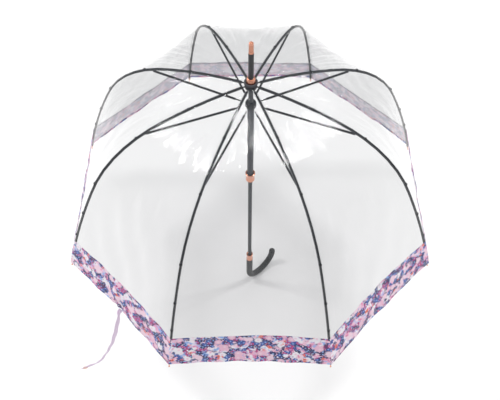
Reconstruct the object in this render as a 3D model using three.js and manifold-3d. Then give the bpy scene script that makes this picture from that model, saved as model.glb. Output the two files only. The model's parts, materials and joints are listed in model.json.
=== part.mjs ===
// Clear bubble umbrella: a long-shafted birdcage umbrella with eight ribs, a clear dome in eight gores,
// a patterned fabric hem, a runner with a long sleeve, and a crook handle.
// Millimetres. +Z runs up the shaft towards the ferrule; the origin is the middle of the hand grip.

import * as THREE from 'three';
import * as BufferGeometryUtils from 'three/addons/utils/BufferGeometryUtils.js';
import Module from 'manifold-3d';

const wasm = await Module();
wasm.setup();

// ---- driving dimensions -------------------------------------------------------------------------------
const RIBS = 8;
const GAP = 0.3;                 // clearance between pieces that touch on the real umbrella
const CROWN_Z = 742;             // height of the rib pivots above the grip
const RIB_PIVOT_R = 10;          // radius of the circle of rib pivots
const RIB_LENGTH = 667;          // along the rib, pivot to the end of its tip
// The rib's slope below horizontal, in degrees, changes evenly between these shares of its length.
const RIB_SLOPES = [[0, 3], [0.27, 17], [0.585, 62.5], [1, 74]];
const RIB_JOINT = 0.45;          // share of the rib at the hinge between its upper and lower part
const STAY_JOINT = 0.32;         // share of the rib at the stretcher's lug
const RIB_W = 4.2;
const RIB_D = 3.6;
const RIB_WALL = 0.8;
const RIB_START = 9;             // the channel begins this far past the crown pivot
const RIB_TONGUE_LAP = 3;        // overlap of the rib's tongue and its channel
const RIB_TONGUE_HALF = 1.5;
const WIRE_HOLE_R = 0.9;
const CROWN_WIRE_R = 0.5;
const LUG_DROP = 4.5;            // stretcher pivot below the rib's middle line
const LUG_HALF = 1.8;
const LUG_ROOT = 0.4;            // the lug starts this far inside the rib's floor
const RIVET_R = 0.7;
const RIVET_HOLE_R = 1.0;
const PLATE = 1.2;               // thickness of rib tongue, stretcher tongue and lug
const STAY_W = 3.6;
const STAY_D = 3.0;
const STAY_WALL = 0.6;
const STAY_TONGUE = 24;          // bare tongue at the stretcher's inner end, measured from the hub pivot
const STAY_OPEN = 12.5;          // the tongue stops this far short of the hub pivot, which is left open
const FORK_END = 1.2;            // fork beyond the lug's rivet
const FORK_FROM = 6;             // the channel's floor is cut away from here to the fork's end
const STAY_TONGUE_HALF = 1.3;
const STAY_TONGUE_LAP = 6;
const FOOT_LENGTH = 7;           // block that closes the channel around its tongue
const TIP_LENGTH = 16;
const TIP_COVER = 10;            // how far the pin stands out past the hem's corner
const TIP_R = 1.75;
const RUNNER_PIVOT_R = 9.3;
const RUNNER_PIVOT_Z = -55;      // below the rib pivots, umbrella open
const HUB_R = 11;
const HUB_H = 10;
const SHAFT_R = 5;
const SHAFT_BORE_R = 4.2;
const SLEEVE_R = 7;
const KEYWAY_R = 6.1;            // groove along the inside of the runner that lets the catches pass
const KEYWAY_W = 3.4;
const SLOT_W = 2;                // slots for the ribs and stretchers in the two hubs
const BLADE_BACK = 2;            // the catches reach this far from the shaft's axis
const RUNNER_COLLAR_TOP = -288;
const RUNNER_COLLAR_H = 27;
const HANDLE_COLLAR_TOP = -674;
const HANDLE_COLLAR_H = 28;
const HANDLE_R = 8.75;
const SOCKET_DEPTH = 31;         // shaft inside the handle
const LEG_LENGTH = 80;           // straight leg of the crook below the handle collar
const CROOK_R = 47.5;
const CROOK_AZIMUTH = 45;
const CROOK_END = 8;             // short straight end of the crook
const CATCH_W = 2.6;
const CATCH_H = 14;
const CATCH_NOSE = 0.8;
const SKIN = 0.6;                // thickness of the clear canopy
const SKIN_LIFT = 3.4;           // canopy's inner face above the rib's middle line
const HEM_WIDTH = 82;
const HEM_THICK = 1;
const HEM_ROWS = 3;
const STRAP_LENGTH = 234;
const STRAP_W = 18;
const STRAP_THICK = 1;
const SNAP_LIFT = 1.8;
const CANOPY_START = -2;         // the clear sheet begins inside the ring of rib pivots

// ---- materials -----------------------------------------------------------------------------------------
const finish = (color, roughness, metalness, opacity = 1) =>
  new THREE.MeshStandardMaterial({ color, roughness, metalness, opacity, transparent: opacity < 1 });
const BLACK_STEEL = finish(0x1c1c1f, 0.4, 0.7);
const BLACK_PLASTIC = finish(0x202023, 0.5, 0);
const SLEEVE_GREY = finish(0x3a3a3e, 0.45, 0.2);
const ROSE_GOLD = finish(0xc98468, 0.25, 1);
const HANDLE_SKIN = finish(0x3b3b40, 0.6, 0);
const CLEAR_PVC = finish(0xe3e5e7, 0.08, 0, 0.3);
const HEM_CLOTH = finish(0xcdb4cf, 0.8, 0);

const umbrella = new THREE.Group();
const rad = THREE.MathUtils.degToRad;

// ---- solids --------------------------------------------------------------------------------------------
function toSolid(geometry) {
  const bare = geometry.clone();
  bare.deleteAttribute('normal');
  bare.deleteAttribute('uv');
  const merged = BufferGeometryUtils.mergeVertices(bare, 1e-4);
  return new wasm.Manifold(new wasm.Mesh({
    numProp: 3,
    vertProperties: new Float32Array(merged.attributes.position.array),
    triVerts: new Uint32Array(merged.index.array),
  }));
}

function toGeometry(solid) {
  const mesh = solid.getMesh();
  const geometry = new THREE.BufferGeometry();
  geometry.setAttribute('position', new THREE.BufferAttribute(new Float32Array(mesh.vertProperties), 3));
  geometry.setIndex(new THREE.BufferAttribute(new Uint32Array(mesh.triVerts), 1));
  geometry.computeVertexNormals();
  return geometry;
}

const join = (first, ...rest) => toGeometry(rest.reduce((a, g) => a.add(toSolid(g)), toSolid(first)));
const cut = (first, ...rest) => toGeometry(rest.reduce((a, g) => a.subtract(toSolid(g)), toSolid(first)));

function put(name, geometry, material, z = 0) {
  const mesh = new THREE.Mesh(geometry, material);
  mesh.name = name;
  mesh.position.z = z;
  umbrella.add(mesh);
}

function lathe(points, sides = 24) {
  const geometry = new THREE.LatheGeometry(points.map(([r, z]) => new THREE.Vector2(r, z)), sides);
  return geometry.rotateX(Math.PI / 2);
}

// A ring about the shaft with a bore that clears it: outline is [radius, z] from the top down.
function collar(outline, bore, sides = 24) {
  const low = outline[outline.length - 1][1];
  const high = outline[0][1];
  return lathe([[bore, low], ...[...outline].reverse(), [bore, high], [bore, low]], sides);
}

function box(width, depth, height, x, y, z) {
  return new THREE.BoxGeometry(width, depth, height).translate(x, y, z);
}

// A peg along y through a point of the radial plane.
function peg(radius, length, x, z) {
  return new THREE.CylinderGeometry(radius, radius, length, 8).translate(x, 0, z);
}

// A flat plate in the radial plane, thickness across it.
function plate(outline, thickness, holes = []) {
  const shape = new THREE.Shape(outline.map(([x, z]) => new THREE.Vector2(x, z)));
  for (const [x, z, r] of holes) {
    const hole = new THREE.Path();
    hole.absarc(x, z, r, 0, 2 * Math.PI, true);
    shape.holes.push(hole);
  }
  const options = { depth: thickness, bevelEnabled: false, curveSegments: 4 };
  const geometry = new THREE.ExtrudeGeometry(shape, options);
  return geometry.rotateX(Math.PI / 2).translate(0, thickness / 2, 0);
}

// The outline of a bar of width 2 * half from a to b, with a round end about b.
function roundEnded(a, b, half, steps = 4) {
  const along = Math.atan2(b[1] - a[1], b[0] - a[0]);
  const points = [];
  for (let i = 0; i <= steps; i += 1) {
    const angle = along - Math.PI / 2 + (Math.PI * i) / steps;
    points.push([b[0] + half * Math.cos(angle), b[1] + half * Math.sin(angle)]);
  }
  const across = [Math.cos(along + Math.PI / 2) * half, Math.sin(along + Math.PI / 2) * half];
  points.push([a[0] + across[0], a[1] + across[1]], [a[0] - across[0], a[1] - across[1]]);
  return points;
}

// A channel swept through points of the radial plane; the open side is up, away from the shaft's foot.
function channel(points, normals, width, depth, wall) {
  const section = [
    [-width / 2, -depth / 2], [width / 2, -depth / 2], [width / 2, depth / 2], [width / 2 - wall, depth / 2],
    [width / 2 - wall, wall - depth / 2], [wall - width / 2, wall - depth / 2],
    [wall - width / 2, depth / 2], [-width / 2, depth / 2],
  ];
  return sweep(points, normals, section, [[0, 1, 4, 5], [1, 2, 3, 4], [0, 5, 6, 7]]);
}

// Sweeps a section of [across, up] corners; ends are capped with the given faces of the section.
function sweep(points, normals, section, caps) {
  const positions = [];
  points.forEach((p, i) => {
    for (const [across, up] of section) {
      positions.push(p[0] + normals[i][0] * up, across, p[1] + normals[i][1] * up);
    }
  });
  const index = [];
  const n = section.length;
  const quad = (a, b, c, d) => index.push(a, b, c, a, c, d);
  for (let i = 0; i + 1 < points.length; i += 1) {
    for (let j = 0; j < n; j += 1) {
      const k = (j + 1) % n;
      quad(i * n + j, i * n + k, (i + 1) * n + k, (i + 1) * n + j);
    }
  }
  const last = (points.length - 1) * n;
  for (const face of caps) {
    for (let i = 1; i + 1 < face.length; i += 1) {
      index.push(face[0], face[i + 1], face[i]);
      index.push(last + face[0], last + face[i], last + face[i + 1]);
    }
  }
  return closedFrom(positions, index);
}

function closedFrom(positions, index) {
  const geometry = new THREE.BufferGeometry();
  geometry.setAttribute('position', new THREE.Float32BufferAttribute(positions, 3));
  geometry.setIndex(index);
  geometry.computeVertexNormals();
  return volumeOf(geometry) < 0 ? flipped(geometry) : geometry;
}

function volumeOf(geometry) {
  const p = geometry.attributes.position;
  const ix = geometry.index;
  const [a, b, c] = [new THREE.Vector3(), new THREE.Vector3(), new THREE.Vector3()];
  let total = 0;
  for (let i = 0; i < ix.count; i += 3) {
    a.fromBufferAttribute(p, ix.getX(i));
    b.fromBufferAttribute(p, ix.getX(i + 1));
    c.fromBufferAttribute(p, ix.getX(i + 2));
    total += a.dot(b.cross(c)) / 6;
  }
  return total;
}

function flipped(geometry) {
  const turned = Array.from(geometry.index.array);
  for (let i = 0; i < turned.length; i += 3) {
    [turned[i + 1], turned[i + 2]] = [turned[i + 2], turned[i + 1]];
  }
  geometry.setIndex(turned);
  geometry.computeVertexNormals();
  return geometry;
}

// ---- the rib's line ------------------------------------------------------------------------------------
function slopeAt(share) {
  for (let i = 1; i < RIB_SLOPES.length; i += 1) {
    const [s0, a0] = RIB_SLOPES[i - 1];
    const [s1, a1] = RIB_SLOPES[i];
    if (share <= s1) return rad(a0 + ((a1 - a0) * (share - s0)) / (s1 - s0));
  }
  return rad(RIB_SLOPES[RIB_SLOPES.length - 1][1]);
}

const LINE_STEPS = 400;
const ribLine = [[RIB_PIVOT_R, 0]];
for (let i = 0; i < LINE_STEPS; i += 1) {
  const slope = slopeAt((i + 0.5) / LINE_STEPS);
  const [r, z] = ribLine[i];
  const step = RIB_LENGTH / LINE_STEPS;
  ribLine.push([r + step * Math.cos(slope), z - step * Math.sin(slope)]);
}

// Point of the rib's middle line at a share of its length, moved out by lift; shares past the ends run on.
function onRib(share, lift = 0) {
  const inside = Math.min(Math.max(share, 0), 1);
  const at = inside * LINE_STEPS;
  const i = Math.min(Math.floor(at), LINE_STEPS - 1);
  const [a, b] = [ribLine[i], ribLine[i + 1]];
  const f = at - i;
  const slope = slopeAt(inside);
  const past = (share - inside) * RIB_LENGTH;
  return [
    a[0] + (b[0] - a[0]) * f + past * Math.cos(slope) + lift * Math.sin(slope),
    a[1] + (b[1] - a[1]) * f - past * Math.sin(slope) + lift * Math.cos(slope),
  ];
}

const outward = (share) => [Math.sin(slopeAt(share)), Math.cos(slopeAt(share))];
const shares = (from, to, steps) =>
  Array.from({ length: steps + 1 }, (_, i) => from + ((to - from) * i) / steps);
const mm = (length) => length / RIB_LENGTH;
const ribAzimuth = (k) => (360 / RIBS) * (k + 0.5) - 90;

// ---- ribs and stretchers --------------------------------------------------------------------------------
function ribPart(from, to, steps) {
  const at = shares(from, to, steps);
  return channel(at.map((s) => onRib(s)), at.map(outward), RIB_W, RIB_D, RIB_WALL);
}

function ribUpper() {
  const body = ribPart(mm(RIB_START), RIB_JOINT - mm(GAP / 2), 9);
  const root = onRib(mm(RIB_START + RIB_TONGUE_LAP));
  const tongue = plate(roundEnded(root, onRib(0), RIB_TONGUE_HALF), PLATE, [[RIB_PIVOT_R, 0, WIRE_HOLE_R]]);
  const pivot = onRib(STAY_JOINT, -LUG_DROP);
  const lugRoot = onRib(STAY_JOINT, LUG_ROOT - RIB_D / 2);
  const lug = plate(roundEnded(lugRoot, pivot, LUG_HALF), PLATE, [[...pivot, RIVET_HOLE_R]]);
  return join(body, tongue, lug);
}

const RIB_END = 1 - mm(TIP_LENGTH + GAP);

function ribLower() {
  return ribPart(RIB_JOINT + mm(GAP / 2), RIB_END, 10);
}

// The rose-coloured tip: a plug on the rib's end with a slim pin that the hem's corner is pulled over.
function ribTip() {
  const profile = [
    [0, TIP_LENGTH], [1.2, TIP_LENGTH - 0.5], [TIP_R, TIP_LENGTH - 2], [TIP_R, 6], [2.2, 5], [2.2, 0], [0, 0],
  ];
  const tip = lathe(profile.reverse(), 8);
  const slope = slopeAt(1);
  const [r, z] = onRib(1 - mm(TIP_LENGTH));
  return tip.rotateY(Math.PI / 2 + slope).translate(r, 0, z);
}

function stretcher() {
  const outer = onRib(STAY_JOINT, -LUG_DROP);
  const inner = [RUNNER_PIVOT_R, RUNNER_PIVOT_Z];
  const length = Math.hypot(outer[0] - inner[0], outer[1] - inner[1]);
  const along = [(outer[0] - inner[0]) / length, (outer[1] - inner[1]) / length];
  const at = (d, up = 0) => [
    inner[0] + along[0] * d - along[1] * up, inner[1] + along[1] * d + along[0] * up];
  const normal = [-along[1], along[0]];
  const from = STAY_TONGUE;
  const bar = channel([at(from), at(length + FORK_END)], [normal, normal], STAY_W, STAY_D, STAY_WALL);
  // A block lying along the stretcher, its middle a distance from the hub pivot.
  const block = (size, width, depth, d) =>
    box(size, width, depth, 0, 0, 0)
      .rotateY(-Math.atan2(along[1], along[0])).translate(at(d)[0], 0, at(d)[1]);
  const floorCut = block(4 * FORK_FROM, STAY_W - 2 * STAY_WALL, STAY_D * 2, length + FORK_FROM);
  const rivet = peg(RIVET_R, STAY_W - STAY_WALL / 3, ...outer);
  const tip = at(STAY_OPEN + STAY_TONGUE_HALF);
  const tongue = plate(roundEnded(at(from + STAY_TONGUE_LAP), tip, STAY_TONGUE_HALF), PLATE);
  const foot = block(FOOT_LENGTH, STAY_W - STAY_WALL, STAY_D - STAY_WALL, from + FOOT_LENGTH / 2 + GAP);
  return join(cut(bar, floorCut), rivet, tongue, foot);
}

function turned(geometry, azimuth) {
  return geometry.clone().rotateZ(rad(azimuth));
}

function addRibs() {
  const pieces = { rib_upper: ribUpper(), rib_lower: ribLower(), rib_tip: ribTip(), stretcher: stretcher() };
  const looks = {
    rib_upper: BLACK_STEEL, rib_lower: BLACK_STEEL, rib_tip: ROSE_GOLD, stretcher: BLACK_STEEL };
  for (let k = 0; k < RIBS; k += 1) {
    for (const name of Object.keys(pieces)) {
      put(`${name}_${k + 1}`, turned(pieces[name], ribAzimuth(k)), looks[name], CROWN_Z);
    }
  }
}

// ---- canopy and hem -------------------------------------------------------------------------------------
// A strip of shell between two neighbouring ribs, straight across, from one share of the rib to another.
function strip(from, to, steps, inner, outer) {
  const half = Math.PI / RIBS;
  const positions = [];
  for (const s of shares(from, to, steps)) {
    for (const [lift, side] of [[inner, -1], [inner, 1], [outer, 1], [outer, -1]]) {
      const [r, z] = onRib(s, lift);
      const across = r * Math.sin(half) - GAP / 2;
      positions.push(r * Math.cos(half), side * across, z);
    }
  }
  const index = [];
  const quad = (a, b, c, d) => index.push(a, b, c, a, c, d);
  for (let i = 0; i < steps; i += 1) {
    for (let j = 0; j < 4; j += 1) {
      const k = (j + 1) % 4;
      quad(4 * i + j, 4 * i + k, 4 * i + 4 + k, 4 * i + 4 + j);
    }
  }
  const last = 4 * steps;
  index.push(0, 2, 1, 0, 3, 2, last, last + 1, last + 2, last, last + 2, last + 3);
  return closedFrom(positions, index);
}

const HEM_TOP = 1 - mm(HEM_WIDTH + TIP_COVER);
const HEM_FOOT = 1 - mm(TIP_COVER);

function addCanopy() {
  const gore = strip(mm(CANOPY_START), HEM_TOP - mm(GAP), 18, SKIN_LIFT, SKIN_LIFT + SKIN);
  for (let k = 0; k < RIBS; k += 1) {
    put(`canopy_gore_${k + 1}`, turned(gore, (360 / RIBS) * (k + 1) - 90), CLEAR_PVC, CROWN_Z);
  }
}

// One closed band of cloth around the rim, straight between the rib tips.
function addHem() {
  const down = shares(HEM_TOP, HEM_FOOT, HEM_ROWS);
  const rows = [
    ...down.map((s) => onRib(s, SKIN_LIFT)), ...down.reverse().map((s) => onRib(s, SKIN_LIFT + HEM_THICK)),
  ];
  const n = rows.length;
  const positions = [];
  const index = [];
  for (let k = 0; k < RIBS; k += 1) {
    const azimuth = rad(ribAzimuth(k));
    for (const [r, z] of rows) positions.push(r * Math.cos(azimuth), r * Math.sin(azimuth), z);
    const next = n * ((k + 1) % RIBS);
    for (let j = 0; j < n; j += 1) {
      const m = (j + 1) % n;
      index.push(n * k + j, n * k + m, next + m, n * k + j, next + m, next + j);
    }
  }
  put('hem_band', closedFrom(positions, index), HEM_CLOTH, CROWN_Z);
}

// The tie strap hangs from the middle of the hem's front left side.
function addStrap() {
  const half = Math.PI / RIBS;
  const [r, z] = onRib(HEM_FOOT, SKIN_LIFT);
  const start = r * Math.cos(half);
  const drops = [[0.5, -1], [8, -45], [24, -95], [50, -142], [82, -178], [112, -203]];
  const points = drops.map(([out, down]) => [start + out, z + down]);
  const curve = new THREE.CatmullRomCurve3(points.map(([x, y]) => new THREE.Vector3(x, 0, y)));
  const steps = 12;
  const whole = curve.getLength();
  const line = shares(0, STRAP_LENGTH / whole, steps).map((u) => curve.getPointAt(Math.min(u, 1)));
  const normals = line.map((_, i) => {
    const a = line[Math.max(i - 1, 0)];
    const b = line[Math.min(i + 1, steps)];
    const d = Math.hypot(b.x - a.x, b.z - a.z);
    return [(a.z - b.z) / d, (b.x - a.x) / d];
  });
  const w = STRAP_W / 2;
  const h = STRAP_THICK / 2;
  const section = [[-w, -h], [w, -h], [w, h], [-w, h]];
  const strap = sweep(line.map((p) => [p.x, p.z]), normals, section, [[0, 1, 2, 3]]);
  const azimuth = -135;
  put('tie_strap', turned(strap, azimuth), HEM_CLOTH, CROWN_Z);
  const end = line[steps - 1];
  const normal = normals[steps - 1];
  const snap = new THREE.CylinderGeometry(5, 5.5, 2, 14).rotateX(Math.PI / 2);
  snap.rotateY(Math.atan2(normal[0], normal[1]));
  snap.translate(end.x + normal[0] * SNAP_LIFT, 0, end.z + normal[1] * SNAP_LIFT);
  put('strap_snap', turned(snap, azimuth), ROSE_GOLD, CROWN_Z);
}

// ---- crown ----------------------------------------------------------------------------------------------
// Radial slots at every rib, from radius r outwards.
function slots(inner, outer, width, low, high) {
  return Array.from({ length: RIBS }, (_, k) =>
    turned(box(outer - inner, width, high - low, (inner + outer) / 2, 0, (low + high) / 2), ribAzimuth(k)));
}

function addCrown() {
  const bore = SHAFT_R + GAP;
  const blank = collar([[12.5, 2.2], [12.5, -5], [9, -8]], bore);
  const groove = collar([[10.9, 4], [10.9, -0.9]], 9.1);
  put('crown_notch', cut(blank, groove, ...slots(7.9, 14, SLOT_W, -9, 4)), BLACK_PLASTIC, CROWN_Z);
  const ring = Array.from({ length: 6 }, (_, i) => (2 * Math.PI * i) / 6).map((angle) => [
    RIB_PIVOT_R + CROWN_WIRE_R * Math.cos(angle), CROWN_WIRE_R * Math.sin(angle)]);
  put('crown_wire', lathe([...ring, ring[0]]), BLACK_STEEL, CROWN_Z);
  const cup = [[9.9, 6], [10.3, 9.6], [12.6, 10], [13.4, 9], [13.4, 4.3]];
  put('crown_rosette', collar(cup, bore), BLACK_PLASTIC, CROWN_Z);
  const dome = [[6.2, 19.6], [7.6, 18.6], [8.7, 16.2], [9.3, 12.6], [9.4, 6.3]];
  put('crown_cap', collar(dome, bore, 20), ROSE_GOLD, CROWN_Z);
}

function addFerrule() {
  const spigot = SHAFT_BORE_R - GAP;
  const rod = [[0, 83], [5.35, 83], [5.35, 20.3], [spigot, 20.3], [spigot, 0], [0, 0]];
  put('ferrule_rod', lathe([...rod].reverse()), BLACK_STEEL, CROWN_Z);
  const tip = [
    [0, 108], [3.4, 108], [4.3, 107.2], [4.75, 105.4], [4.75, 86], [5.2, 85.4], [5.2, 83.3], [0, 83.3]];
  put('ferrule_tip', lathe([...tip].reverse()), ROSE_GOLD, CROWN_Z);
}

// ---- shaft, catches and runner --------------------------------------------------------------------------
const TOP_CATCH_Z = RUNNER_COLLAR_TOP - RUNNER_COLLAR_H - 1 - CATCH_H / 2;
const RUNNER_REST_GAP = 3;
const LOW_CATCH_Z = HANDLE_COLLAR_TOP + RUNNER_REST_GAP + RUNNER_COLLAR_H / 2;

function addShaft() {
  const top = 20;
  const foot = HANDLE_COLLAR_TOP - HANDLE_COLLAR_H - SOCKET_DEPTH + 1;
  const tube = collar([[SHAFT_R, top], [SHAFT_R, foot]], SHAFT_BORE_R);
  const window = (z) => box(4, CATCH_W + 2 * GAP, CATCH_H + 2 * GAP, SHAFT_R, 0, z);
  put('shaft_tube', cut(tube, window(TOP_CATCH_Z), window(LOW_CATCH_Z)), BLACK_STEEL, CROWN_Z);
}

// A sprung nose through the shaft's wall: flat face up at the top catch, down at the lower one.
function addCatches() {
  const nose = SHAFT_R + CATCH_NOSE;
  const h = CATCH_H / 2;
  const outline = [[BLADE_BACK, -h], [SHAFT_R, -h], [nose, h - 3], [nose, h], [BLADE_BACK, h]];
  put('top_catch', plate(outline, CATCH_W), BLACK_STEEL, CROWN_Z + TOP_CATCH_Z);
  const low = outline.map(([x, z]) => [x, -z]).reverse();
  put('lower_catch', plate(low, CATCH_W), BLACK_STEEL, CROWN_Z + LOW_CATCH_Z);
}

function addRunner() {
  const bore = SHAFT_R + GAP;
  const collarFoot = RUNNER_COLLAR_TOP - RUNNER_COLLAR_H;
  const keyway = box(KEYWAY_R, KEYWAY_W, 400, KEYWAY_R / 2, 0, -200);
  const hubTop = RUNNER_PIVOT_Z + HUB_H / 2;
  const hubFoot = RUNNER_PIVOT_Z - HUB_H / 2;
  const hub = collar([[9.4, hubTop + 1.6], [HUB_R, hubTop], [HUB_R, hubFoot], [9.8, hubFoot - 1.2]], bore);
  const hubSlots = slots(7.4, 13, SLOT_W, hubFoot - 4, hubTop + 4);
  put('runner_hub', cut(hub, keyway, ...hubSlots), BLACK_PLASTIC, CROWN_Z);
  const sleeveTop = hubFoot - 1.2 - GAP;
  const sleeve = collar([[SLEEVE_R, sleeveTop], [SLEEVE_R, RUNNER_COLLAR_TOP + GAP]], bore);
  put('runner_sleeve', cut(sleeve, keyway), SLEEVE_GREY, CROWN_Z);
  const [t, b] = [RUNNER_COLLAR_TOP, collarFoot];
  const outline = [
    [9.5, t], [11.5, t - 1.5], [11.5, t - 4.5], [9.6, t - 7], [9, t - 12], [9.3, t - 17], [10.5, b + 6],
    [10.5, b + 2], [9.2, b],
  ];
  put('runner_collar', cut(collar(outline, bore, 20), keyway), ROSE_GOLD, CROWN_Z);
}

// ---- handle ---------------------------------------------------------------------------------------------
function addHandle() {
  const [t, b] = [HANDLE_COLLAR_TOP, HANDLE_COLLAR_TOP - HANDLE_COLLAR_H];
  const outline = [
    [7.6, t], [9, t - 1.4], [9, t - 4], [8.1, t - 5.4], [8.1, b + 5.4], [9, b + 4], [9, b + 1.4], [8.8, b],
  ];
  put('handle_collar', collar(outline, SHAFT_R + GAP, 20), ROSE_GOLD, CROWN_Z);
  const top = b - GAP;
  const path = new THREE.CurvePath();
  const bend = top - LEG_LENGTH;
  const across = new THREE.Vector3(Math.cos(rad(CROOK_AZIMUTH)), Math.sin(rad(CROOK_AZIMUTH)), 0);
  const at = (u, z) => across.clone().multiplyScalar(u).setZ(z);
  path.add(new THREE.LineCurve3(at(0, top), at(0, bend)));
  path.add(new CrookBend(across, bend));
  path.add(new THREE.LineCurve3(at(2 * CROOK_R, bend), at(2 * CROOK_R, bend + CROOK_END)));
  const circle = new THREE.Shape();
  circle.absarc(0, 0, HANDLE_R, 0, 2 * Math.PI);
  const crook = new THREE.ExtrudeGeometry(circle, { steps: 30, curveSegments: 7, extrudePath: path });
  const socket = new THREE.CylinderGeometry(SHAFT_R + GAP, SHAFT_R + GAP, 2 * SOCKET_DEPTH, 24);
  socket.rotateX(Math.PI / 2).translate(0, 0, top);
  put('handle_crook', cut(crook, socket), HANDLE_SKIN, CROWN_Z);
}

class CrookBend extends THREE.Curve {
  constructor(across, z) {
    super();
    this.across = across;
    this.z = z;
  }

  getPoint(t, target = new THREE.Vector3()) {
    const angle = Math.PI * t;
    target.copy(this.across).multiplyScalar(CROOK_R * (1 - Math.cos(angle)));
    return target.setZ(this.z - CROOK_R * Math.sin(angle));
  }
}

addShaft();
addCatches();
addRunner();
addCrown();
addFerrule();
addRibs();
addCanopy();
addHem();
addStrap();
addHandle();

export default umbrella;
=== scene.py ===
"""Clear bubble umbrella: the canopy, printed hem, strap, trims and finishes around its working frame."""
import json
import math

import bmesh
import bpy
import numpy as np
from bpy.props import FloatProperty, FloatVectorProperty, IntProperty, PointerProperty
from mathutils import Matrix, Vector


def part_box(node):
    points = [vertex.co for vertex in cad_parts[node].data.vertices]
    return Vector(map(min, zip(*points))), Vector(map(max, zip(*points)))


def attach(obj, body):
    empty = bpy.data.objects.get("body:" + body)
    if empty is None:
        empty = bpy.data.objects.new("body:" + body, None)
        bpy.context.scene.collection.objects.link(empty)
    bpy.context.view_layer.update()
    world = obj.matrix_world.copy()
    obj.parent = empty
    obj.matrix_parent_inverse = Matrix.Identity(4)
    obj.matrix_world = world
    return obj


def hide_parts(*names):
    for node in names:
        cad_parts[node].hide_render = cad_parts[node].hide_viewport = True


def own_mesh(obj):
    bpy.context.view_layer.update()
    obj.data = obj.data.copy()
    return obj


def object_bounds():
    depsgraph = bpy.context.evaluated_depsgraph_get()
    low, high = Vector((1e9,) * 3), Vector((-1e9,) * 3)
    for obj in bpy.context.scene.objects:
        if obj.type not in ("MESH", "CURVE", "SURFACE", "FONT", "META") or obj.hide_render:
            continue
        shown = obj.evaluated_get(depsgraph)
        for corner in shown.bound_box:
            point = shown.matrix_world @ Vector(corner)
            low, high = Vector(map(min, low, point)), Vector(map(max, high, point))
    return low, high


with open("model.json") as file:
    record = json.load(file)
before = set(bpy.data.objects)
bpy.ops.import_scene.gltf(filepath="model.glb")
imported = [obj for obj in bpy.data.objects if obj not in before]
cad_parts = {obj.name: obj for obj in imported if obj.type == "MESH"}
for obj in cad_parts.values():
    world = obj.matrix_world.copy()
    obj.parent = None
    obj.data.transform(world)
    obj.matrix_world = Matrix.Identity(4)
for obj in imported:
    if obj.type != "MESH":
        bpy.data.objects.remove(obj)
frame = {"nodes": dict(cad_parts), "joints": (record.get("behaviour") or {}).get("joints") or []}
CAD_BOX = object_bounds()

bl_info = {
    "name": "Clear Bubble Umbrella",
    "version": (1, 0, 0),
    "blender": (4, 5, 0),
    "location": "3D View > Sidebar > Umbrella",
    "description": "Sheets, trims and finishes of a clear dome umbrella with a printed hem",
    "category": "Object",
}

# ---- places taken from the frame ------------------------------------------------------------------------
JOINTS = {joint["name"]: joint for joint in frame["joints"]}
RIBS = 8
HALF_GORE = math.pi / RIBS
PIVOT = Vector(JOINTS["rib_1_crown"]["pos_m"])
CROWN_Z = PIVOT.z
PIVOT_R = math.hypot(PIVOT.x, PIVOT.y)
RIB_LENGTH = 0.667
RIB_JOINT = 0.45                 # share of the rib at the hinge between its two parts
RIB_SLOPES = ((0, 3), (0.27, 17), (0.585, 62.5), (1, 74))   # share of the rib, degrees below horizontal
SKIN_LIFT = 0.0037               # the clear sheet above the rib's middle line
HEM_LIFT = 0.0043
HEM_WIDTH = 0.081
TIP_COVER = 0.014                # the tips stand this far out past the hem
HEM_TOP = RIB_LENGTH - TIP_COVER - HEM_WIDTH
HEM_FOOT = RIB_LENGTH - TIP_COVER
PRINT_STEP = 0.9                 # the print runs on by this much from one gore to the next
STITCH_ROWS = (0.003, 0.073)     # below the hem's upper edge
STITCH_LENGTH = 0.0028
STITCH_WIDTH = 0.0008
YARN = 0.0005                    # spacing of the hem's weave
STRAP_GORE = 7
STRAP_WIDTH = 0.018
STRAP_THICK = 0.0007
TAU = 2 * math.pi


def rib_azimuth(rib):
    """Direction of rib 1 to 8 around the shaft, in radians."""
    return math.radians(360 / RIBS * rib - 112.5)


def rib_slope(down):
    """Slope of the rib below horizontal at a distance along it."""
    shares, degrees = zip(*RIB_SLOPES)
    return np.radians(np.interp(np.asarray(down) / RIB_LENGTH, shares, degrees))


LINE_STEPS = 2000
_middles = rib_slope((np.arange(LINE_STEPS) + 0.5) / LINE_STEPS * RIB_LENGTH)
_step = RIB_LENGTH / LINE_STEPS
LINE_DOWN = np.linspace(0, RIB_LENGTH, LINE_STEPS + 1)
LINE_R = np.concatenate([[PIVOT_R], PIVOT_R + np.cumsum(np.cos(_middles)) * _step])
LINE_Z = np.concatenate([[0], -np.cumsum(np.sin(_middles)) * _step])


def rib_point(down, lift):
    """Radius and height above the crown of a point over the rib, at a distance along it."""
    inside = np.clip(down, 0, RIB_LENGTH)
    slope = rib_slope(inside)
    past = down - inside
    radius = np.interp(inside, LINE_DOWN, LINE_R) + past * np.cos(slope) + lift * np.sin(slope)
    height = np.interp(inside, LINE_DOWN, LINE_Z) - past * np.sin(slope) + lift * np.cos(slope)
    return radius, height


# ---- sizes and colours that a user would change ---------------------------------------------------------
def length(name, description, default):
    return FloatProperty(name=name, description=description, default=default, unit="LENGTH", precision=4)


def colour(name, description, default):
    return FloatVectorProperty(
        name=name, description=description, default=default, size=3, subtype="COLOR", min=0, max=1)


def share(name, description, default):
    return FloatProperty(name=name, description=description, default=default, subtype="FACTOR", min=0, max=1)


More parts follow.
